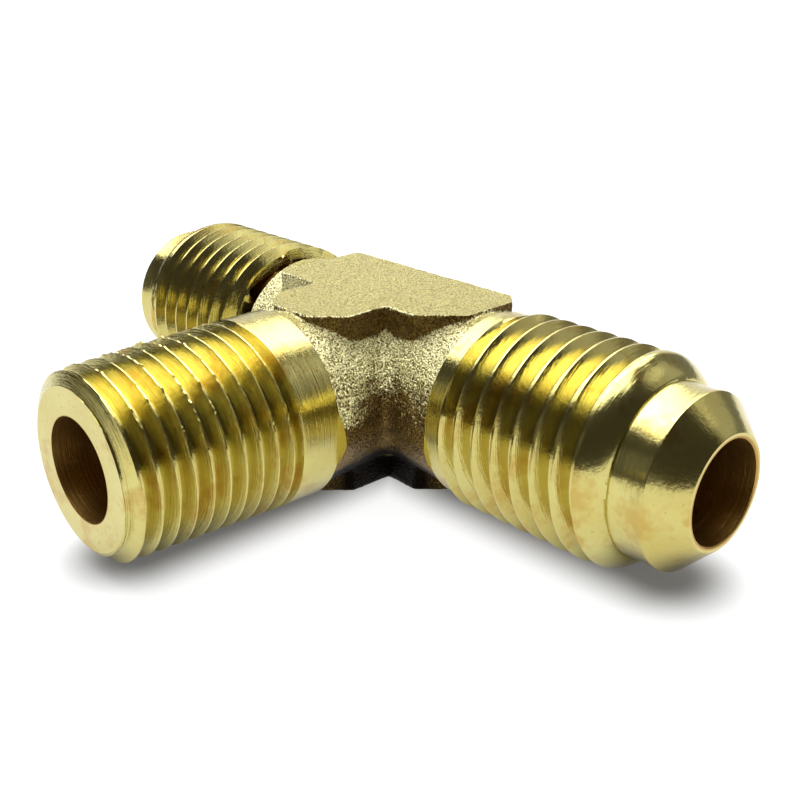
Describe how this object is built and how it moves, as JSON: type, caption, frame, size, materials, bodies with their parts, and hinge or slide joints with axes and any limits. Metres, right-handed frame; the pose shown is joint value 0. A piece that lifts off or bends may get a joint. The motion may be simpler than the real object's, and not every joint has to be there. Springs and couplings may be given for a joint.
{
  "type": "flare branch tee fitting",
  "caption": "Forged brass branch tee with a 45 degree flare end on each side of its run, a taper pipe thread on its branch and flat wrench pads.",
  "frame": {"origin": "point where the run bore's axis and the branch bore's axis cross", "axes": "+X along the run, towards one flare end; the branch points along -Y; +Z out of the upper wrench pad"},
  "size_m": [0.0456, 0.0261, 0.0112],
  "materials": {
    "forged_brass": "shot-blasted matt forging",
    "turned_brass": "bright turned metal with fine tool marks"
  },
  "bodies": {
    "root": {"forged_tee_body": "forged_brass", "flare_thread_right": "turned_brass", "flare_thread_left": "turned_brass", "flare_seat_right": "turned_brass", "flare_seat_left": "turned_brass", "branch_pipe_end": "turned_brass"}
  },
  "joints": []
}
